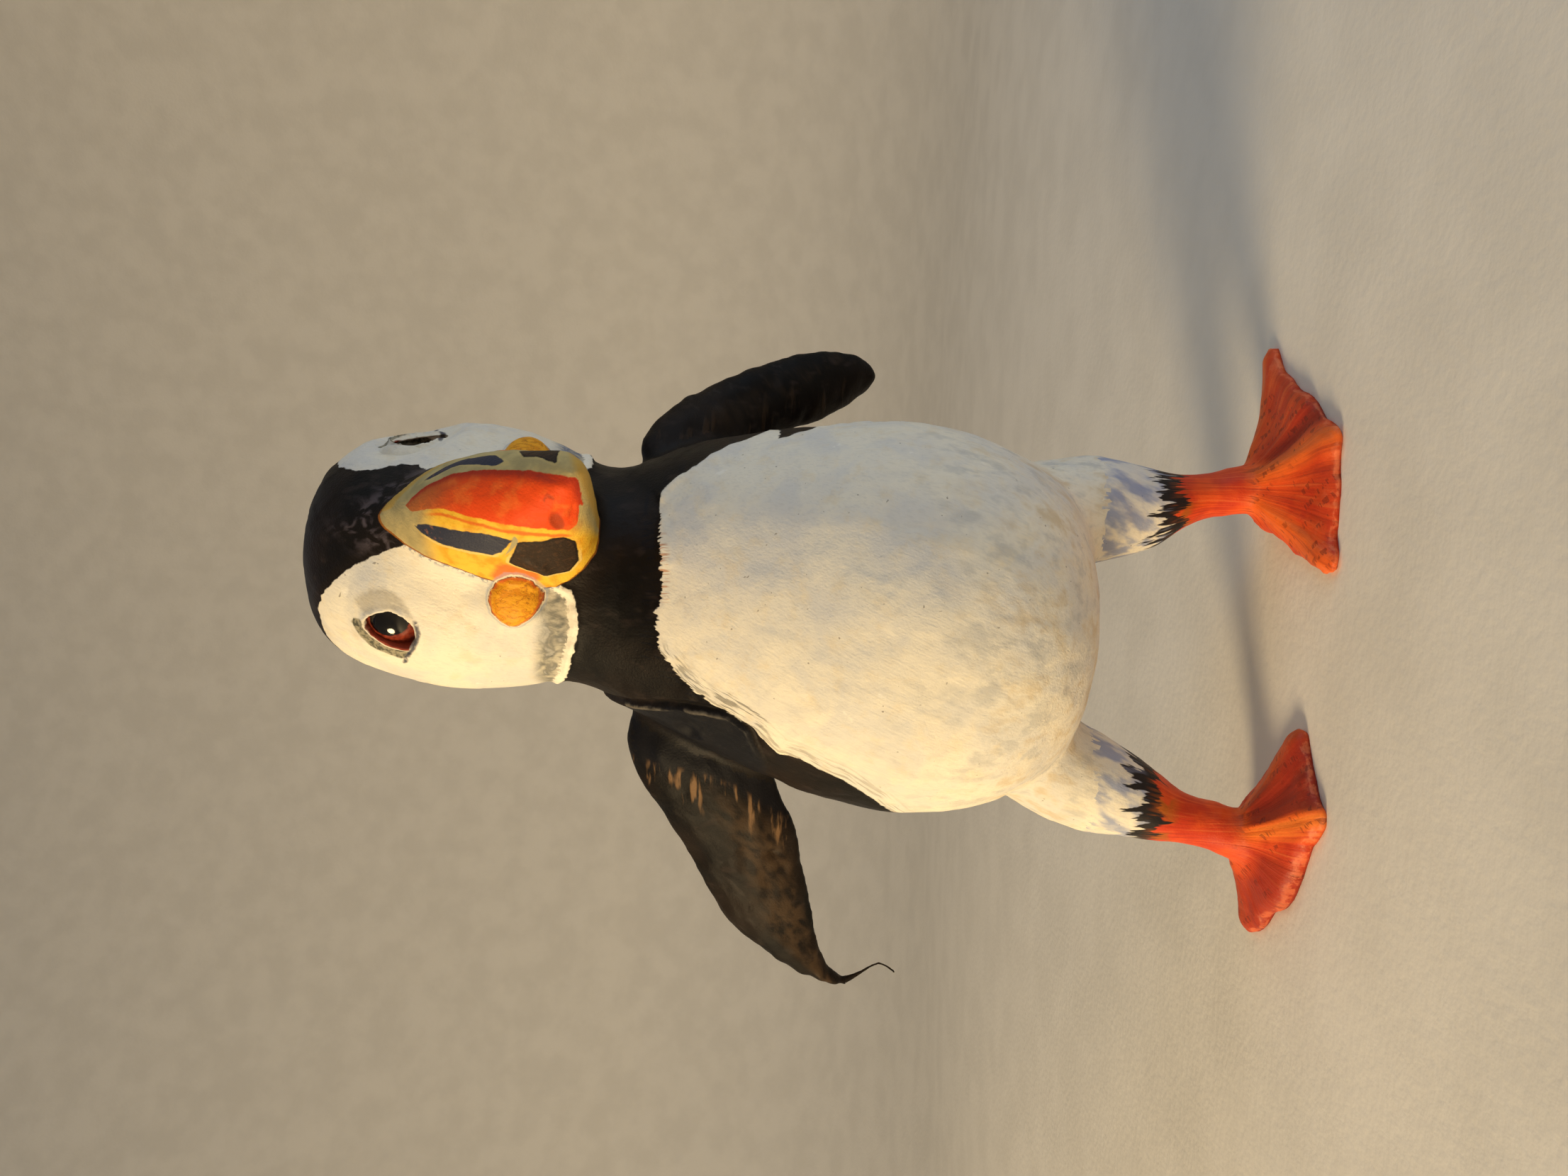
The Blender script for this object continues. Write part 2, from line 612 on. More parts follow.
def build_skin():
    """The bird's paper skin, from the solid: finer, without facets, and with its relief."""
    obj = new_object("puffin_skin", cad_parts["puffin"].data.copy())
    with_modifier(obj, "REMESH", mode="VOXEL", voxel_size=VOXEL * MM, adaptivity=0)
    mesh = obj.data
    points, edges = points_of(mesh), edges_of(mesh)
    f = fields(points)
    z = points[:, 2]
    weight = np.full(len(points), 0.5)
    weight *= 0.02 + 0.98 * step(f["eye_distance"], 11, 17)
    weight *= np.where(z < FOOT_TOP, 0.12, 1)
    weight *= np.where((f["wing"] > 0) & (z < 172), 0.35, 1)
    curl_near, curl_foot, curl_radius = curl_distance(points)
    curled = (curl_near < CURL_REACH) & (z < CURL_TOP)
    weight[curled] = 0
    sole = z < SOLE_TOP
    points = smooth(points, edges, weight, SMOOTH_ROUNDS)
    points = smooth(points, edges, np.where(curled, 0, 0.5), 3)
    spoke = points - curl_foot
    spoke /= np.maximum(np.linalg.norm(spoke, axis=1), 1e-6)[:, None]
    points[curled] = (curl_foot + spoke * curl_radius[:, None])[curled]
    set_points(mesh, points)
    normals = normals_of(mesh)
    height = relief(points, normals, fields(points))
    height[curled | sole] = 0
    points = points + normals * height[:, None]
    points[:, 2] = np.where(sole, 0, np.maximum(points[:, 2], 0))
    set_points(mesh, points)
    triangles = sum(len(p.vertices) - 2 for p in mesh.polygons)
    with_modifier(obj, "DECIMATE", ratio=min(1, SKIN_TRIANGLES / triangles))
    obj.data.name = "puffin_skin"
    return obj


MATERIAL_ORDER = ["body", "head", "wings", "legs"]
STORED_LIMIT = 30  # distances beyond this are all alike to the paints


def dress(obj, materials):
    """Stores the paint fields on the mesh and gives every face its material."""
    mesh = obj.data
    points, normals = points_of(mesh), normals_of(mesh)
    f = fields(points)
    f["front"] = step(-normals[:, 1], -0.1, 0.25)
    on_foot = step(points[:, 2], 9, 6)
    f["foot_rim"] = step(np.abs(normals[:, 2]), 0.8, 0.35) * on_foot * step(f["foot_reach"], 14, 20)
    for name, values in f.items():
        attribute = mesh.attributes.new(name, "FLOAT", "POINT")
        stored = np.clip(values, -STORED_LIMIT, STORED_LIMIT).astype(np.float32)
        attribute.data.foreach_set("value", stored)
    mesh.materials.clear()
    for name in MATERIAL_ORDER:
        mesh.materials.append(materials[name])
    starts = np.empty(len(mesh.polygons), np.int32)
    mesh.polygons.foreach_get("loop_start", starts)
    corners = np.empty(len(mesh.loops), np.int32)
    mesh.loops.foreach_get("vertex_index", corners)
    first = corners[starts]
    z = points[first, 2]
    index = np.full(len(starts), MATERIAL_ORDER.index("body"), np.int32)
    index[f["wing"][first] > 1.5] = MATERIAL_ORDER.index("wings")
    index[z > HEAD_BOTTOM] = MATERIAL_ORDER.index("head")
    index[z < LEG_TOP] = MATERIAL_ORDER.index("legs")
    mesh.polygons.foreach_set("material_index", index)
    mesh.polygons.foreach_set("use_smooth", np.ones(len(starts), bool))
    mesh.update()


# Paint nodes

MIX_UNDER, MIX_OVER, MIX_RESULT = 6, 7, 2  # the Mix node's colour sockets


class Value:
    """A node's output, with arithmetic that adds Math nodes."""

    def __init__(self, paint, socket):
        self.paint, self.socket = paint, socket

    def math(self, operation, *others, flipped=False):
        node = self.paint.node("Math")
        node.operation = operation
        inputs = [self, *others]
        for slot, value in zip(node.inputs, reversed(inputs) if flipped else inputs):
            self.paint.feed(slot, value)
        return Value(self.paint, node.outputs[0])

    def __add__(self, other):
        return self.math("ADD", other)

    def __sub__(self, other):
        return self.math("SUBTRACT", other)

    def __rsub__(self, other):
        return self.math("SUBTRACT", other, flipped=True)

    def __mul__(self, other):
        return self.math("MULTIPLY", other)

    def __truediv__(self, other):
        return self.math("DIVIDE", other)

    def step(self, low, high):
        """Smoothly from 0 at low to 1 at high."""
        node = self.paint.node("MapRange")
        node.interpolation_type = "SMOOTHSTEP"
        for slot, value in zip(node.inputs, (self, low, high, 0.0, 1.0)):
            self.paint.feed(slot, value)
        return Value(self.paint, node.outputs[0])

    def most(self, other):
        return self.math("MAXIMUM", other)

    def size(self):
        return self.math("ABSOLUTE")

    def above(self, edge, soft=0.15):
        return self.step(edge - soft, edge + soft)

    def below(self, edge, soft=0.15):
        return self.step(edge + soft, edge - soft)


class Paint:
    """One material and its nodes."""

    def __init__(self, name):
        self.material = bpy.data.materials.new(name)
        self.material.use_nodes = True
        self.tree = self.material.node_tree
        self.shader = self.tree.nodes["Principled BSDF"]
        self.coordinates = self.node("TexCoord").outputs["Object"]

    def node(self, kind):
        return self.tree.nodes.new("ShaderNode" + kind)

    def feed(self, slot, value):
        if isinstance(value, Value):
            self.tree.links.new(value.socket, slot)
        else:
            slot.default_value = value

    def field(self, name):
        node = self.node("Attribute")
        node.attribute_name = name
        return Value(self, node.outputs["Fac"])

    def axis(self, k):
        """A coordinate of the part's frame, in millimetres."""
        node = self.node("SeparateXYZ")
        self.tree.links.new(self.coordinates, node.inputs[0])
        return Value(self, node.outputs[k]) * (1 / MM)

    def noise(
        self, size, detail=2.0, stretch=(1, 1, 1), turn=(0, 0, 0), shift=0.0, warp=0.0, rough=0.5
    ):
        """Noise from 0 to 1, with lumps of about size millimetres, longer where stretch is more."""
        mapping = self.node("Mapping")
        mapping.vector_type = "TEXTURE"
        self.tree.links.new(self.coordinates, mapping.inputs["Vector"])
        mapping.inputs["Location"].default_value = (shift, shift * 0.7, shift * 1.3)
        mapping.inputs["Rotation"].default_value = [math.radians(a) for a in turn]
        mapping.inputs["Scale"].default_value = [size * MM * s for s in stretch]
        node = self.node("TexNoise")
        self.tree.links.new(mapping.outputs[0], node.inputs["Vector"])
        node.inputs["Scale"].default_value = 1.0
        node.inputs["Detail"].default_value = detail
        node.inputs["Roughness"].default_value = rough
        node.inputs["Distortion"].default_value = warp
        return Value(self, node.outputs["Fac"])

    def streaks(self, across, along, detail=1.0, shift=0.0):
        """Noise from 0 to 1 over two values, so that strokes follow the form."""
        join = self.node("CombineXYZ")
        for slot, value in zip(join.inputs, (across, along, shift)):
            self.feed(slot, value)
        node = self.node("TexNoise")
        self.tree.links.new(join.outputs[0], node.inputs["Vector"])
        node.inputs["Scale"].default_value = 1.0
        node.inputs["Detail"].default_value = detail
        return Value(self, node.outputs["Fac"])

    def mix(self, factor, under, over):
        """Colour under, with over laid on it by factor."""
        node = self.node("Mix")
        node.data_type = "RGBA"
        self.feed(node.inputs["Factor"], factor)
        self.feed(node.inputs[MIX_UNDER], under)
        self.feed(node.inputs[MIX_OVER], over)
        return Value(self, node.outputs[MIX_RESULT])

    def finish(self, colour, roughness, height, depth=0.1, **fixed):
        """Links colour, roughness and a height map whose full range is depth millimetres."""
        self.feed(self.shader.inputs["Base Color"], colour)
        self.feed(self.shader.inputs["Roughness"], roughness)
        bump = self.node("Bump")
        bump.inputs["Strength"].default_value = 1.0
        bump.inputs["Distance"].default_value = depth * MM
        self.feed(bump.inputs["Height"], height)
        self.tree.links.new(bump.outputs[0], self.shader.inputs["Normal"])
        for name, value in fixed.items():
            self.shader.inputs[name.replace("_", " ")].default_value = value
        return self.material


PAINT_DEPTH = 0.3  # millimetres of brushwork in the paints' height maps


def white_paint(paint):
    """Brushed creamy white with soft grey and ochre patches, fine strokes and a few specks."""
    hairs = paint.noise(0.55, 2, stretch=(1, 1, 9), turn=(0, 24, 0), shift=0.1)
    patches = paint.noise(15, 4, shift=0.3, warp=0.5, rough=0.6)
    small = paint.noise(5, 4, shift=0.35, rough=0.6)
    colour = paint.mix(patches.step(0.38, 0.66), rgb(238, 232, 216), rgb(222, 220, 214))
    colour = paint.mix(small.step(0.5, 0.75) * 0.35, colour, rgb(228, 208, 166))
    colour = paint.mix(hairs.step(0.5, 0.7) * 0.16, colour, rgb(176, 176, 176))
    colour = paint.mix(small.step(0.34, 0.26) * 0.5, colour, rgb(250, 247, 238))
    specks = paint.noise(1.3, 1, shift=0.45)
    colour = paint.mix(specks.step(0.76, 0.8) * 0.55, colour, rgb(96, 84, 70))
    return colour, hairs * 0.5 + small


def black_paint(paint):
    """Brown-black paint with faint warm and violet dabs."""
    dabs = paint.noise(3.2, 2, stretch=(1, 1, 2.2), shift=0.5)
    patches = paint.noise(20, 2, shift=0.7)
    colour = paint.mix(patches.step(0.35, 0.65), rgb(12, 10, 9), rgb(28, 20, 14))
    colour = paint.mix(dabs.step(0.56, 0.74) * 0.35, colour, rgb(58, 48, 44))
    return colour, dabs


def body_material():
    paint = Paint("body_paint")
    z, turn = paint.axis(2), paint.field("trunk_turn")
    wobble = paint.noise(2.2, 3, shift=1.1) - 0.5
    edge = paint.field("belly")
    hairs = paint.streaks(turn * 1.1, z * 0.28, 1, 4.0) - 0.5
    high = z.step(118, 128)
    belly = edge + wobble * 2.2 + hairs * high * 2.6
    white, white_grain = white_paint(paint)
    black, black_grain = black_paint(paint)
    # short dark strokes on the neck, hairs of grey inside the edge and dabs of orange on the collar
    neck_hairs = hairs.step(0.02, 0.12) * belly.step(-7, -2.5) * high
    black = paint.mix(neck_hairs * 0.8, black, rgb(10, 10, 16))
    inner = paint.streaks(edge * 1.3 + turn * 0.22, z * 0.13 + turn * 0.13, 2, 7.0).step(0.48, 0.6)
    by_edge = belly.step(7, 1.5) * turn.step(-8, -14) * 0.8
    inner = inner * by_edge.most(paint.field("grey").step(-0.4, 1))
    white = paint.mix(inner * high.most(0.8) * 0.75, white, rgb(122, 118, 108))
    dabs = paint.streaks(turn * 1.3, z * 0.1, 1, 9.0).step(0.5, 0.62) * belly.step(2.6, 1.2)
    dabs = dabs * high * turn.step(1, 5) * turn.step(25, 20)
    white = paint.mix(dabs * 0.7, white, rgb(186, 118, 70))
    worn = paint.noise(6, 4, stretch=(1, 1, 1.6), turn=(0, 20, 0), shift=4.4, rough=0.6)
    white = paint.mix(worn.step(0.5, 0.7) * z.step(98, 66) * 0.5, white, rgb(200, 174, 124))
    white = paint.mix(worn.step(0.5, 0.34) * z.step(112, 74) * 0.4, white, rgb(160, 164, 168))
    mask = belly.above(0, 0.2)
    colour = paint.mix(mask, black, white)
    shoulder = paint.field("shoulder") + wobble * 0.9
    on_right = paint.axis(0).step(4, 2) * paint.axis(1).step(3, -5)
    on_right = on_right * z.step(125, 129)
    colour = paint.mix(shoulder.above(0, 0.3) * on_right, colour, rgb(15, 16, 22))
    lit = (shoulder - 0.7).size().below(0.45, 0.35) * worn.step(0.38, 0.55) * on_right
    colour = paint.mix(lit * z.step(132, 140) * 0.6, colour, rgb(128, 122, 112))
    height = paint.noise(0.5, 3, shift=2.0) * 0.3 + white_grain * mask * 0.5 + black_grain * 0.3
    height = height + inner * mask * 0.3
    return paint.finish(colour, mask * 0.1 + 0.5, height, PAINT_DEPTH, Specular_IOR_Level=0.14)


def head_material():
    paint = Paint("head_paint")
    z = paint.axis(2)
    wobble = paint.noise(1.8, 3, shift=1.3) - 0.5
    fine = paint.noise(0.9, 2, shift=3.1)
    white, white_grain = white_paint(paint)
    black, _ = black_paint(paint)
    cheek_edge = paint.field("cheek") + wobble * 1.4
    bill_edge = paint.field("bill") + wobble * 0.5
    # grey and teal smudges where the cheek ends above the neck, under a thick white rim
    far = paint.field("bill_left").step(0, 2)
    swirl = paint.noise(5.5, 3, shift=3.4, warp=1.2)
    strokes = paint.noise(1.1, 2, stretch=(1, 1, 5), turn=(12, -20, 0), shift=3.7)
    smudged = cheek_edge.step(10.5, 6) * z.step(185, 180)
    smudge = paint.mix(swirl.step(0.3, 0.7), rgb(98, 100, 98), rgb(198, 192, 174))
    smudge = paint.mix(strokes.step(0.48, 0.72) * 0.5, smudge, rgb(66, 78, 84))
    smudge = paint.mix(far * swirl.step(0.6, 0.4) * 0.8, smudge, rgb(84, 104, 144))
    colour = paint.mix(smudged * (swirl.step(0.3, 0.44) * 0.4 + 0.6), white, smudge)
    rim = (cheek_edge + (fine - 0.5) * 2.4).step(2.7, 1.9)
    colour = paint.mix(rim * z.step(184, 178), colour, rgb(246, 240, 224))
    beside_bill = bill_edge.step(-3.2, -0.9) * fine.step(0.44, 0.6)
    colour = paint.mix(beside_bill * 0.75, colour, rgb(112, 126, 150))
    dabs = paint.noise(2.8, 3, stretch=(1, 1, 1.5), shift=4.1, warp=0.6)
    crown = bill_edge.step(-19, -4) * z.step(196, 203)
    black = paint.mix(crown * dabs.step(0.46, 0.66) * 0.75, black, rgb(96, 86, 90))
    colour = paint.mix(cheek_edge.above(0, 0.16), black, colour)
    colour = lid_paint(paint, colour, wobble, fine, far)
    colour = paint.mix(bill_edge.above(-0.75, 0.2), colour, rgb(150, 92, 34))
    colour = paint.mix(bill_edge.above(-0.1, 0.16), colour, bill_paint(paint, wobble, z))
    colour = rosette_paint(paint, colour, wobble, fine)
    height = paint.noise(0.5, 3, shift=2.0) * 0.35 + white_grain * 0.6
    roughness = cheek_edge.below(0) * 0.08 + 0.5
    return paint.finish(colour, roughness, height, PAINT_DEPTH, Specular_IOR_Level=0.18)


def lid_paint(paint, colour, wobble, fine, far):
    """Grey patches round each eye, the white edge of its lids and the dark line at its corner."""
    upper = (paint.field("upper_lid") + wobble * 1.2).step(-0.5, 1.1)
    colour = paint.mix(upper * (fine * 0.4 + 0.35) * (1 - far * 0.7), colour, rgb(152, 144, 128))
    lids = paint.field("lids") + wobble * 0.4
    colour = paint.mix(lids.step(-1.3, -0.8) * 0.85, colour, rgb(232, 224, 206))
    lower = (paint.field("lower_lid") + wobble * 0.6).step(-0.3, 0.3)
    lower_colour = paint.mix(fine.step(0.36, 0.6), rgb(84, 84, 72), rgb(158, 152, 130))
    colour = paint.mix(lower * lids.below(-0.1, 0.2), colour, lower_colour)
    behind = far * paint.field("eye_back").step(0, 1.5)
    colour = paint.mix(lids.above(0.35, 0.2) * (1 - behind), colour, rgb(140, 58, 40))
    corner = (paint.field("eye_corner") + wobble * 0.4).below(0.5, 0.3)
    return paint.mix(corner * 0.9, colour, rgb(42, 48, 72))


def rosette_paint(paint, colour, wobble, fine):
    """Golden folds of skin at the corners of the mouth, with an orange rim in a thin line."""
    edge = paint.field("rosette") + wobble * 0.9
    strokes = paint.noise(1.5, 3, stretch=(1, 1, 2), shift=7.3, warp=1.4)
    petals = paint.mix(strokes.step(0.3, 0.7), rgb(240, 172, 40), rgb(222, 142, 26))
    thin_lines = (strokes - 0.55).size().below(0.012, 0.012)
    petals = paint.mix(thin_lines * 0.7, petals, rgb(130, 82, 20))
    petals = paint.mix(edge.step(0.8, 0.2) * strokes.step(0.3, 0.55), petals, rgb(214, 104, 34))
    colour = paint.mix(edge.above(-1.0, 0.25) * 0.5, colour, rgb(158, 168, 186))
    colour = paint.mix(edge.above(-0.5, 0.12), colour, rgb(232, 222, 200))
    colour = paint.mix(edge.above(-0.2, 0.12) * strokes.step(0.35, 0.5), colour, rgb(96, 62, 36))
    return paint.mix(edge.above(0, 0.2), colour, petals)


def bill_paint(paint, wobble, z):
    stain = paint.noise(4, 3, shift=1.7)
    specks = paint.noise(1.1, 2, shift=1.9)
    left = paint.field("bill_left")
    gold = paint.mix(stain.step(0.4, 0.65), rgb(242, 194, 62), rgb(226, 160, 38))
    khaki = paint.mix(stain.step(0.35, 0.65), rgb(192, 174, 120), rgb(170, 155, 108))
    pale = z.step(198, 205).most(z.step(172, 168) * left.step(-6, 0))
    pale = pale.most(left.step(0.5, 2.5))
    colour = paint.mix(pale, gold, khaki)
    slate, dark = paint.field("slate") + wobble * 0.6, paint.field("dark") + wobble * 0.6
    panels = slate.most(dark)
    outer = (paint.field("red_right") + 6).step(1, -1.5)
    colour = paint.mix(panels.above(-0.6, 0.2) * (outer * 0.7 + 0.15), colour, rgb(236, 206, 124))
    far_band = left.step(0.5, 2) * paint.field("bill").step(4.2, 2.4)
    colour = paint.mix(far_band * 0.8, colour, rgb(196, 156, 66))
    between = slate.above(-1.2, 0.2) * dark.above(-1.2, 0.2)
    colour = paint.mix(between, colour, rgb(168, 158, 120))
    slate_specks = specks.step(0.56, 0.7) * z.step(196, 202)
    slate_colour = paint.mix(slate_specks, rgb(54, 57, 72), rgb(120, 84, 78))
    dark_colour = paint.mix(specks.step(0.5, 0.7) * 0.5, rgb(50, 38, 28), rgb(84, 58, 38))
    dark_colour = paint.mix(dark.step(0.7, 0.2), dark_colour, rgb(36, 27, 22))
    colour = paint.mix(slate.above(0), colour, slate_colour)
    colour = paint.mix(dark.above(0), colour, dark_colour)
    gape = (paint.field("gape") + wobble * 1.6).above(0.2, 0.9) * panels.below(-0.3, 0.2)
    colour = paint.mix(gape * 0.9, colour, rgb(226, 112, 48))
    red_edge = paint.field("red") + wobble * 0.7
    line = (paint.field("red_right") + wobble * 0.6 + 1.1).size().below(0.3, 0.2)
    colour = paint.mix(line * z.step(203, 198) * z.step(169, 171) * 0.85, colour, rgb(222, 104, 34))
    red = paint.mix(z.step(190, 206), rgb(232, 78, 26), rgb(184, 104, 50))
    red = paint.mix(stain.step(0.5, 0.72) * 0.6, red, rgb(240, 120, 48))
    red = paint.mix(red_edge.step(2.2, 0.4) * left.step(-2, 2), red, rgb(176, 52, 26))
    red = paint.mix(paint.field("smear").step(-0.15, 0.35) * 0.6, red, rgb(110, 52, 26))
    return paint.mix(red_edge.above(0, 0.15), colour, red)


def wing_material():
    """Satin brown-black: tan strokes past the shoulder, a warmer trailing half, dark edges."""
    paint = Paint("wing_paint")
    z, x = paint.axis(2), paint.axis(0)
    black, dabs = black_paint(paint)
    chord, past = paint.field("chord"), paint.field("past_strokes")
    right = x.step(12, 4) * paint.field("front")
    sheen = paint.noise(2.6, 3, stretch=(5, 1, 1.1), turn=(0, -35, 0), shift=2.3)
    middle = chord.step(0.6, 2) * chord.step(6.5, 4)
    warm = middle * past.step(0, 8) * past.step(60, 40) * sheen.step(0.34, 0.62)
    colour = paint.mix(warm * (right * 0.5 + 0.25), black, rgb(70, 54, 38))
    grey = sheen.step(0.56, 0.72) * chord.step(4, 6) * past.step(2, 8)
    colour = paint.mix(grey * 0.4, colour, rgb(58, 52, 48))
    blue = past.step(-22, -8) * past.step(3, -2)
    colour = paint.mix(blue * right * 0.85, colour, rgb(15, 16, 23))
    strokes = paint.streaks(z * 0.5, past * 0.09, 3, 3.0)
    tan = (strokes - past * 0.008).step(0.5, 0.64) * past.step(-2, 0.5) * past.step(12, 4)
    colour = paint.mix(tan * (right * 0.65 + 0.08), colour, rgb(142, 110, 78))
    height = paint.noise(0.5, 3, shift=2.0) * 0.3 + sheen * 0.5 + tan * 0.3
    roughness = dabs * 0.15 + 0.48
    return paint.finish(colour, roughness, height, PAINT_DEPTH, Specular_IOR_Level=0.12)


def leg_material():
    """White thighs, a fringe of dark hairs, and orange shanks and feet over faint newsprint."""
    paint = Paint("leg_paint")
    x, y, z = (paint.axis(k) for k in range(3))
    white, white_grain = white_paint(paint)
    shade = paint.noise(3.4, 3, stretch=(1, 1, 2.4), turn=(0, 30, 0), shift=5.1)
    white = paint.mix(shade.step(0.38, 0.64) * 0.75, white, rgb(122, 140, 186))
    toe, reach, turn = paint.field("toe"), paint.field("foot_reach"), paint.field("foot_turn")
    on_foot = z.step(14, 9)
    brush = paint.streaks(turn * 1.6, reach * 0.05 + z * 0.05, 3, 2.0)
    patches = paint.noise(7, 3, shift=0.9)
    orange = paint.mix(patches.step(0.35, 0.65), rgb(232, 86, 30), rgb(206, 60, 24))
    orange = paint.mix(toe.step(5, 1) * on_foot * 0.6, orange, rgb(246, 122, 42))
    orange = paint.mix(toe.step(3, 8) * on_foot * 0.45, orange, rgb(176, 50, 26))
    orange = paint.mix(brush.step(0.5, 0.68) * 0.35, orange, rgb(246, 132, 70))
    orange = paint.mix(brush.step(0.46, 0.3) * 0.45, orange, rgb(150, 40, 22))
    on_right = x.step(12, 10)
    past = on_foot * reach.step(7, 12)
    brick = turn.step(4.5, 5.3) * turn.step(15, 10) * (on_right * 0.75 + 0.1)
    brick = brick.most(turn.step(-0.5, -3.5) * on_right * 0.7)
    valley = turn.step(5.4, 7) * turn.step(11, 8) * (1 - on_right) * 0.75
    orange = paint.mix(brick.most(valley) * past, orange, rgb(150, 42, 26))
    ridge = turn.step(1.2, 3) * turn.step(4.6, 4.2) * on_right
    orange = paint.mix(ridge * past * brush.step(0.3, 0.6) * 0.8, orange, rgb(246, 132, 48))
    wear = paint.noise(2.6, 4, shift=8.1, rough=0.65)
    worn = reach.step(25, 34) * on_foot * wear.step(0.52, 0.66)
    orange = paint.mix(worn * 0.4, orange, rgb(236, 140, 98))
    print_turn = math.radians(PRINT_TURN)
    row = (x * math.cos(print_turn) + y * math.sin(print_turn)) * (2 * math.pi / PRINT_PITCH)
    along = y * math.cos(print_turn) - x * math.sin(print_turn)
    marks = paint.streaks(along * 1.25, row * 0.16, 1, 6.0).step(0.53, 0.58)
    words = paint.noise(9, 1, shift=6.2).step(0.44, 0.52)
    prints = row.math("SINE").step(0.0, 0.5) * marks * words * on_foot
    orange = paint.mix(prints * 0.5, orange, rgb(92, 34, 22))
    torn = paint.field("foot_rim").step(0.35, 0.8) * wear.step(0.42, 0.56)
    orange = paint.mix(torn * 0.4, orange, rgb(250, 140, 92))
    hairs = paint.streaks(turn * 0.8, z * 0.09, 3, 8.0) - 0.5
    low, high = paint.field("fringe_low"), paint.field("fringe_high")
    olive = paint.noise(5, 1, shift=6.6).step(0.5, 0.62) * low.step(-6, -1)
    orange = paint.mix(olive * 0.6, orange, rgb(150, 104, 24))
    lower = (low + hairs * 16).above(0, 0.4)
    upper = (high + hairs * 26 - 1).above(0, 0.5)
    bristles = paint.streaks(turn * 1.5, z * 0.12, 2, 8.6)
    brown = bristles.step(0.5, 0.64) * low.step(4.5, 1)
    fringe = paint.mix(brown, rgb(26, 22, 24), rgb(112, 58, 24))
    fringe = paint.mix(bristles.step(0.46, 0.34) * high.step(-3, 0), fringe, rgb(92, 96, 116))
    colour = paint.mix(lower, orange, fringe)
    colour = paint.mix(upper, colour, white)
    height = paint.noise(0.5, 3, shift=2.0) * 0.3 + white_grain * upper * 0.5
    height = height + brush * on_foot * 0.9 - prints * 0.2
    return paint.finish(colour, brush * 0.2 + 0.42, height, PAINT_DEPTH, Specular_IOR_Level=0.3)


def eye_material():
    paint = Paint("eye_gloss")
    x, y = paint.axis(0) - PUPIL_CENTRE[0], paint.axis(1) - PUPIL_CENTRE[1]
    a, b = x / PUPIL_HALF[0], y / PUPIL_HALF[1]
    reach = (a * a + b * b).math("SQRT")
    mottle = paint.noise(1.2, 3, shift=0.4)
    iris = paint.mix(mottle.step(0.35, 0.7), rgb(100, 36, 24), rgb(142, 60, 40))
    iris = paint.mix(reach.step(1.9, 2.5), iris, rgb(60, 24, 18))
    colour = paint.mix((reach + (mottle - 0.5) * 0.12).below(1, 0.05), iris, rgb(8, 6, 8))
    return paint.finish(
        colour, mottle * 0.08 + 0.06, mottle, 0.03,
        Specular_IOR_Level=0.3, Coat_Weight=0.35, Coat_Roughness=0.05,
    )


def build_eye(hand, node, material):
    """A glossy bead with a slight cornea, looking along its own Z."""
    low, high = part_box(node)
    _, back, up, out = cheek_frame(EYE, hand)
    mesh = bpy.data.meshes.new(node + "_bead")
    shape = bmesh.new()
    bmesh.ops.create_uvsphere(shape, u_segments=56, v_segments=36, radius=BEAD_RADIUS * MM)
    for v in shape.verts:
        share = max(0.0, v.co.normalized().z)
        v.co *= 1 + CORNEA * share**6
    for face in shape.faces:
        face.smooth = True
    shape.to_mesh(mesh)
    shape.free()
    obj = new_object(node + "_bead", mesh)
    columns = [Vector(back), Vector(up), Vector(out)]
    if hand > 0:
        columns[1] = -columns[1]
    turn = Matrix(columns).transposed().to_4x4()
    shift = Vector(back) * BEAD_BACK - Vector(out) * (FAR_BEAD_SUNK if hand > 0 else 0)
    obj.matrix_world = Matrix.Translation((low + high) / 2 + shift * MM) @ turn
    mesh.materials.append(material)
    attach(obj, "root")
    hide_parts(node)


# Stage, lights and camera

# The floor and the wall that it curves up into: distance from the middle, height, in metres
FLOOR_PROFILE = [
    (0.0, 0.0), (0.72, 0.0), (0.86, 0.02), (0.97, 0.07), (1.06, 0.16), (1.1, 0.3), (1.1, 1.6),
]
FLOOR_SIDES = 96


def build_stage():
    paint = Paint("floor_paper")
    tone = paint.noise(30, 3, shift=0.2)
    colour = paint.mix(tone.step(0.3, 0.7), rgb(222, 219, 212), rgb(230, 227, 220))
    material = paint.finish(colour, tone * 0.1 + 0.75, paint.noise(3, 3), 0.2)
    sides = FLOOR_SIDES
    turns = [2 * math.pi * k / sides for k in range(sides)]
    rows = [
        [(r * math.cos(turn), r * math.sin(turn), z) for turn in turns]
        for r, z in FLOOR_PROFILE[1:]
    ]
    vertices = [(0, 0, 0)] + [v for row in rows for v in row]
    faces = [(0, 1 + k, 1 + (k + 1) % sides) for k in range(sides)]
    for n in range(len(rows) - 1):
        for k in range(sides):
            a, b = 1 + n * sides + k, 1 + n * sides + (k + 1) % sides
            faces.append((a, a + sides, b + sides, b))
    mesh = bpy.data.meshes.new("floor")
    mesh.from_pydata(vertices, [], faces)
    mesh.polygons.foreach_set("use_smooth", [True] * len(mesh.polygons))
    mesh.materials.append(material)
    floor = new_object("floor", mesh)


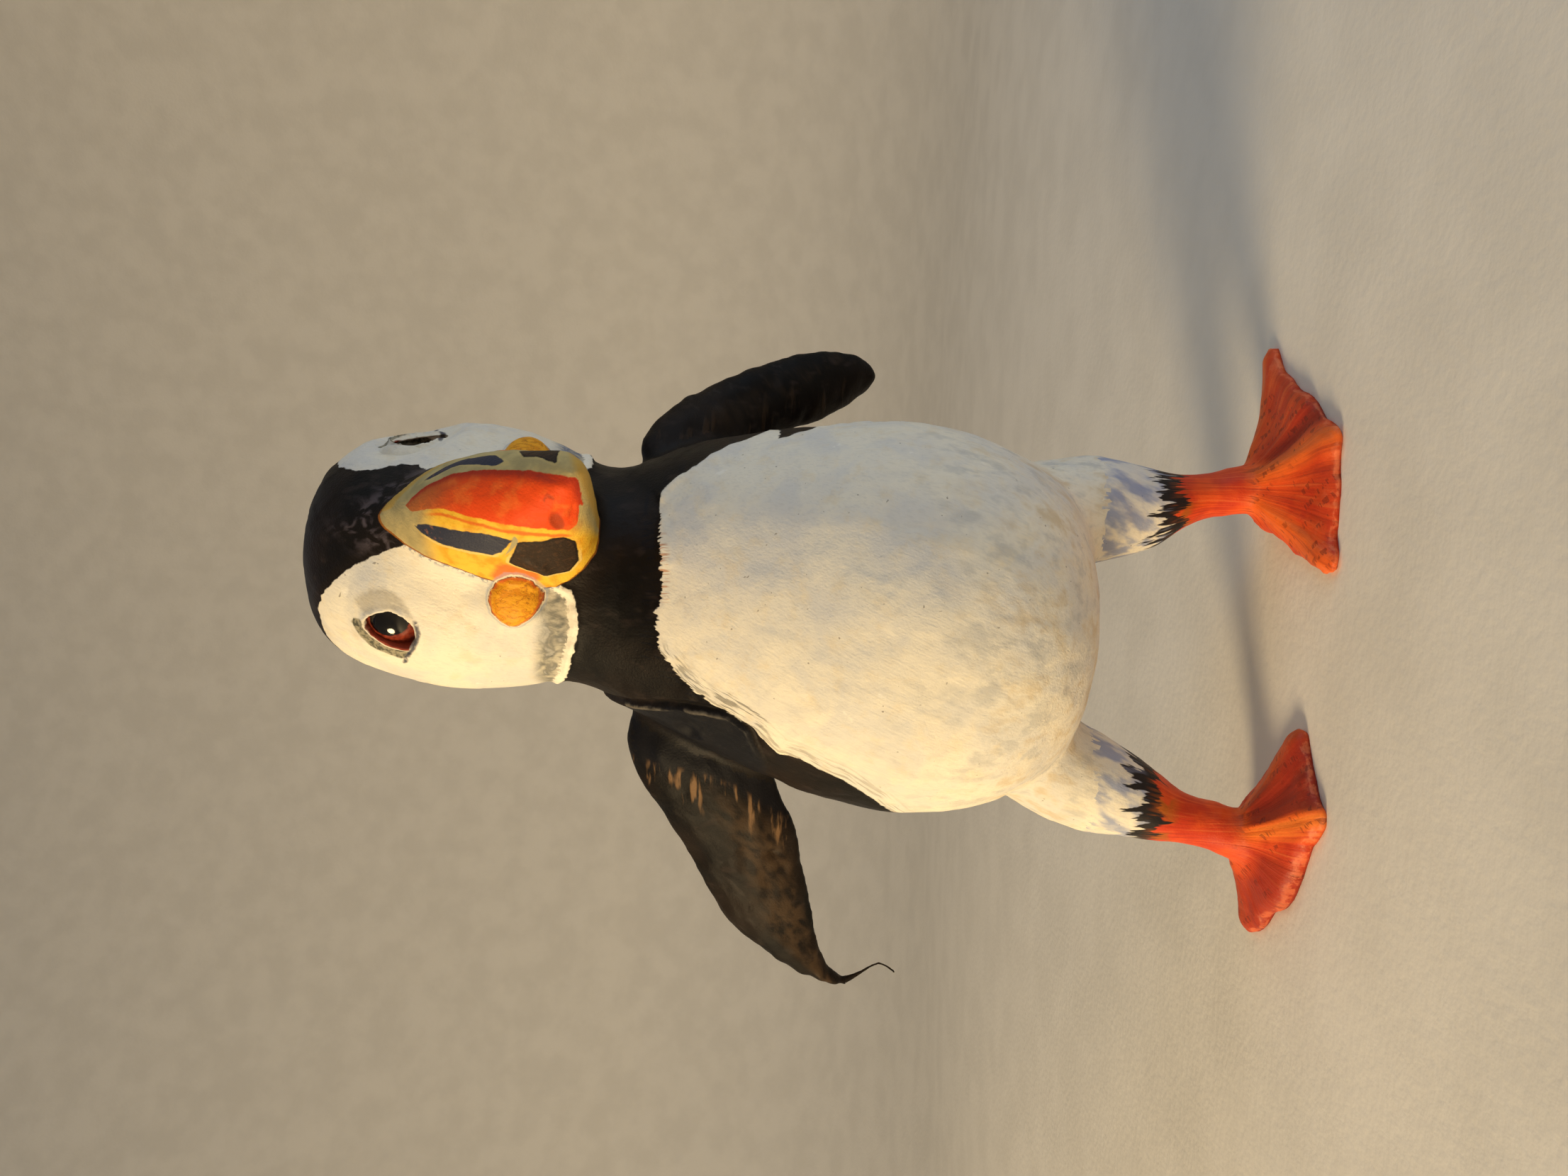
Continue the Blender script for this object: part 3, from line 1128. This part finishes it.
# Name, place and size in metres, watts, colour
LIGHTS = [
    ("warm_key", (-0.8, -0.36, 0.34), 0.28, 8.6, (1.0, 0.75, 0.42)),
    ("cool_fill", (0.66, -0.3, 0.3), 0.7, 1.6, (0.45, 0.7, 1.0)),
    ("soft_top", (0.0, 0.25, 0.8), 0.6, 0.2, (0.9, 0.95, 1.0)),
]
LIT_POINT = (0.01, 0, 0.12)
WORLD_STRENGTH = 0.19


def area_light(name, place, target, size, energy, colour):
    data = bpy.data.lights.new(name, "AREA")
    data.shape, data.size, data.energy, data.color = "DISK", size, energy, colour
    light = new_object(name, data)
    light.location = place
    light.rotation_euler = (Vector(target) - Vector(place)).to_track_quat("-Z", "Y").to_euler()
    light.visible_camera = False


def build_lights():
    for name, place, size, energy, colour in LIGHTS:
        area_light(name, place, LIT_POINT, size, energy, colour)
    world = bpy.data.worlds.new("studio")
    world.use_nodes = True
    background = world.node_tree.nodes["Background"]
    background.inputs["Color"].default_value = rgb(196, 210, 232)
    background.inputs["Strength"].default_value = WORLD_STRENGTH
    bpy.context.scene.world = world
    bpy.context.scene.view_settings.view_transform = "Standard"


CAMERA_PLACE = (0.023138, -0.296048, 0.124)  # metres
CAMERA_ROLL = 1.85  # degrees short of lying on its side
LENS = 27
SENSOR = 36


def build_camera():
    data = bpy.data.cameras.new("photo_view")
    data.lens, data.sensor_width, data.sensor_fit = LENS, SENSOR, "HORIZONTAL"
    data.clip_start, data.clip_end = 0.01, 20
    roll = math.radians(CAMERA_ROLL)
    across = Vector((math.sin(roll), 0, -math.cos(roll)))
    upward = Vector((math.cos(roll), 0, math.sin(roll)))
    backward = Vector((0, -1, 0))
    camera = new_object("photo_view", data)
    axes = Matrix((across, upward, backward)).transposed().to_4x4()
    camera.matrix_world = Matrix.Translation(CAMERA_PLACE) @ axes
    bpy.context.scene.camera = camera


build_camera()
build_lights()
build_stage()
materials = {
    "body": body_material(),
    "head": head_material(),
    "wings": wing_material(),
    "legs": leg_material(),
}
skin = build_skin()
dress(skin, materials)
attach(skin, "root")
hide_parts("puffin")
gloss = eye_material()
build_eye(-1, "right_eye", gloss)
build_eye(1, "left_eye", gloss)
